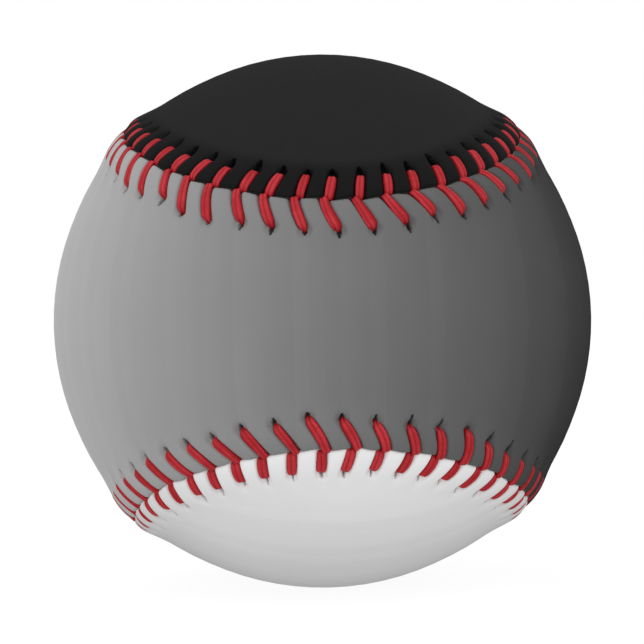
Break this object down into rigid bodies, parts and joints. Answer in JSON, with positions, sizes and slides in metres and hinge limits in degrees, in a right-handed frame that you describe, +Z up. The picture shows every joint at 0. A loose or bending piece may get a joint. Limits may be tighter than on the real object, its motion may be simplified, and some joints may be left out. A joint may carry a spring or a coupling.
{
  "type": "baseball",
  "caption": "Hand-sized sewn ball with figure-eight leather cover panels in a grey fade print, raised red chevron stitching, wool windings and a cushioned cork centre.",
  "frame": {"origin": "centre of the ball, which is the centre of the cork core and of every layer", "axes": "+Z up as in the picture; -Y points out of the middle of the front cover panel's waist, towards the viewer; +X to the viewer's right, along that panel's length"},
  "size_m": [0.0744, 0.0744, 0.0744],
  "materials": {
    "cork": "matte",
    "black_rubber": "matte",
    "red_rubber": "matte",
    "grey_wool": "matte",
    "white_wool": "matte",
    "cotton_yarn": "matte",
    "rubber_cement": "satin",
    "front_leather": "satin",
    "back_leather": "satin",
    "waxed_thread": "satin"
  },
  "bodies": {
    "root": {"cork_core": "cork", "rubber_shell_upper": "black_rubber", "rubber_shell_lower": "black_rubber", "rubber_gasket": "red_rubber", "pill_cover": "red_rubber", "wool_winding_first": "grey_wool", "wool_winding_second": "white_wool", "wool_winding_third": "grey_wool", "cotton_winding": "cotton_yarn", "adhesive_coat": "rubber_cement", "cover_panel_front": "front_leather", "cover_panel_back": "back_leather", "stitch_thread_one": "waxed_thread", "stitch_thread_two": "waxed_thread"}
  },
  "joints": []
}
